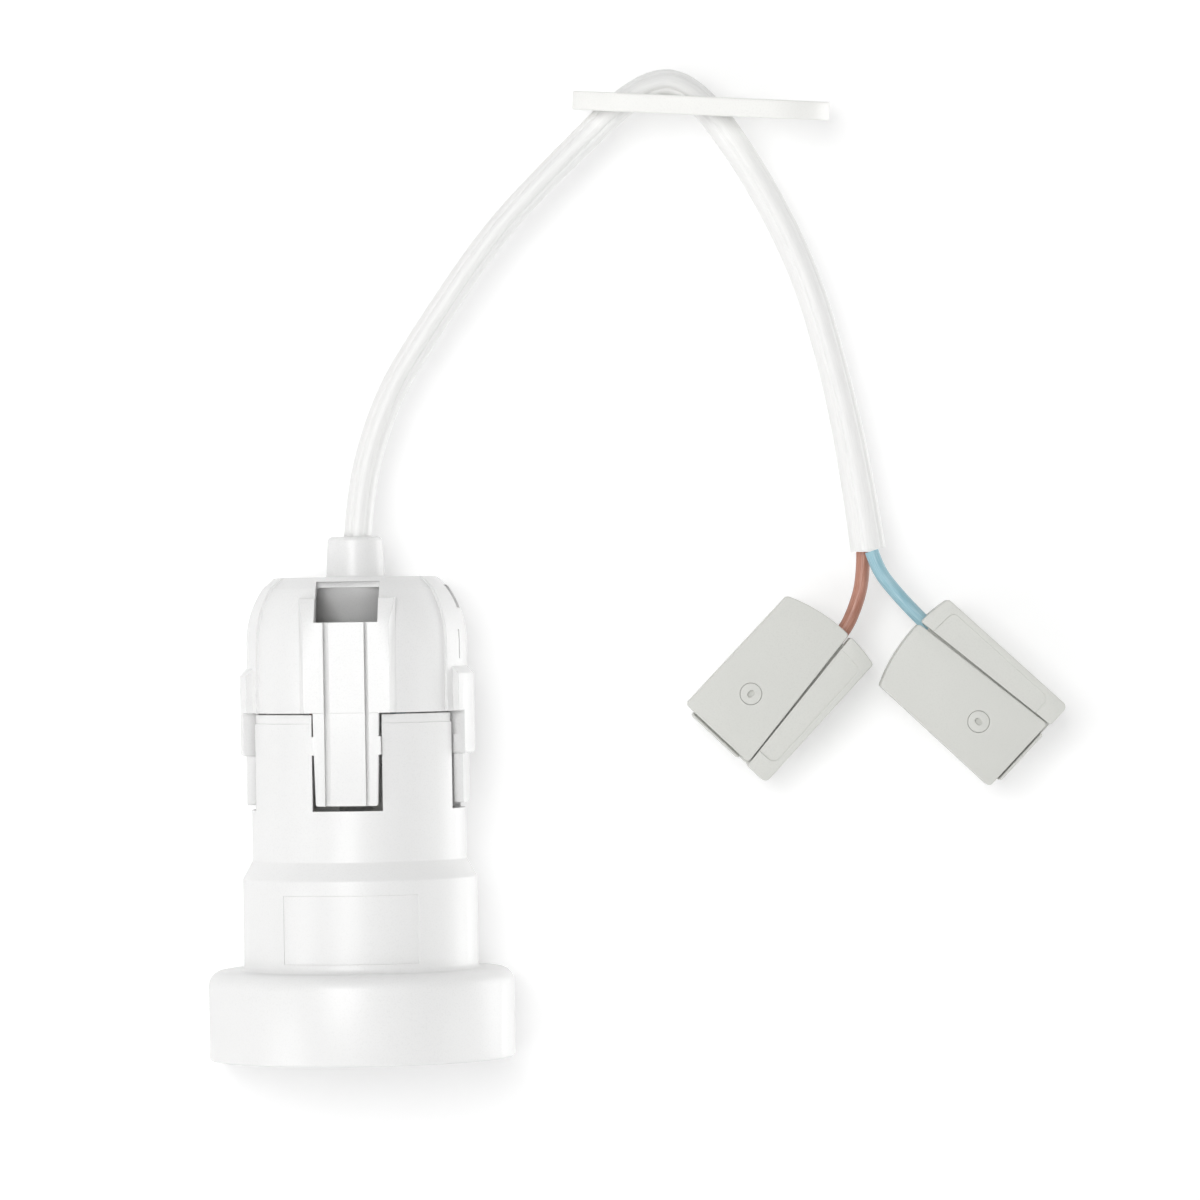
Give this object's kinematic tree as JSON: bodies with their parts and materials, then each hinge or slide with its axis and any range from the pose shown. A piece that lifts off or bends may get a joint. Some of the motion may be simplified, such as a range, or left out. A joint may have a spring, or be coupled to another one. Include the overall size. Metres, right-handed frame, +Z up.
{
  "type": "lamp holder",
  "caption": "White plastic E27 lamp holder with a clipped cap, a bent flex threaded through a hanger plate, and a lighting connector on each core.",
  "frame": {"origin": "centre of the collar's mouth face, where the lamp goes in", "axes": "+Z up along the lamp axis towards the cap and the flex, -Y to the front, +X towards the hanger plate and the connectors"},
  "size_m": [0.1326, 0.047, 0.1521],
  "materials": {
    "white_plastic": "smooth satin",
    "carrier_plastic": "satin",
    "white_pvc": "satin",
    "cream_plastic": "satin",
    "grey_plastic": "satin",
    "brown_pvc": "satin",
    "blue_pvc": "satin",
    "brass": "bright",
    "spring_steel": "bright"
  },
  "bodies": {
    "holder_and_flex": {"lampholder_shell": "white_plastic", "cap": "white_plastic", "contact_carrier": "carrier_plastic", "live_terminal_bar": "brass", "side_contact": "brass", "contact_rivet": "brass", "live_clamp_spring": "spring_steel", "neutral_clamp_spring": "spring_steel", "flex": "white_pvc", "core_brown": "brown_pvc", "core_blue": "blue_pvc", "inner_core_brown": "brown_pvc", "inner_core_blue": "blue_pvc", "cord_grip": "white_plastic", "hanger_plate": "cream_plastic", "brown_connector_housing": "grey_plastic", "brown_clamp_spring": "spring_steel", "brown_current_bar": "brass", "blue_connector_housing": "grey_plastic", "blue_clamp_spring": "spring_steel", "blue_current_bar": "brass"},
    "brown_hood": {"brown_connector_hood": "grey_plastic"},
    "blue_hood": {"blue_connector_hood": "grey_plastic"},
    "contact_leaf": {"centre_contact": "brass"}
  },
  "joints": [
    {"name": "brown_hood_press", "type": "hinge", "parent": "holder_and_flex", "child": "brown_hood", "pos_m": [0.06056, 0.00095, 0.05514], "axis": [0, 1, 0], "range_deg": [0, 1.2], "stiffness_Nm_per_rad": 0.5, "springref_deg": -1.15},
    {"name": "blue_hood_press", "type": "hinge", "parent": "holder_and_flex", "child": "blue_hood", "pos_m": [0.09535, -0.00095, 0.05037], "axis": [0, 1, 0], "range_deg": [0, 1.2], "stiffness_Nm_per_rad": 0.5, "springref_deg": -1.15},
    {"name": "centre_contact_flex", "type": "hinge", "parent": "holder_and_flex", "child": "contact_leaf", "pos_m": [-0.00758, 0.00048, 0.03085], "axis": [-0.0628, -0.998, 0], "range_deg": [0, 6], "stiffness_Nm_per_rad": 0.1, "springref_deg": -1.15}
  ]
}
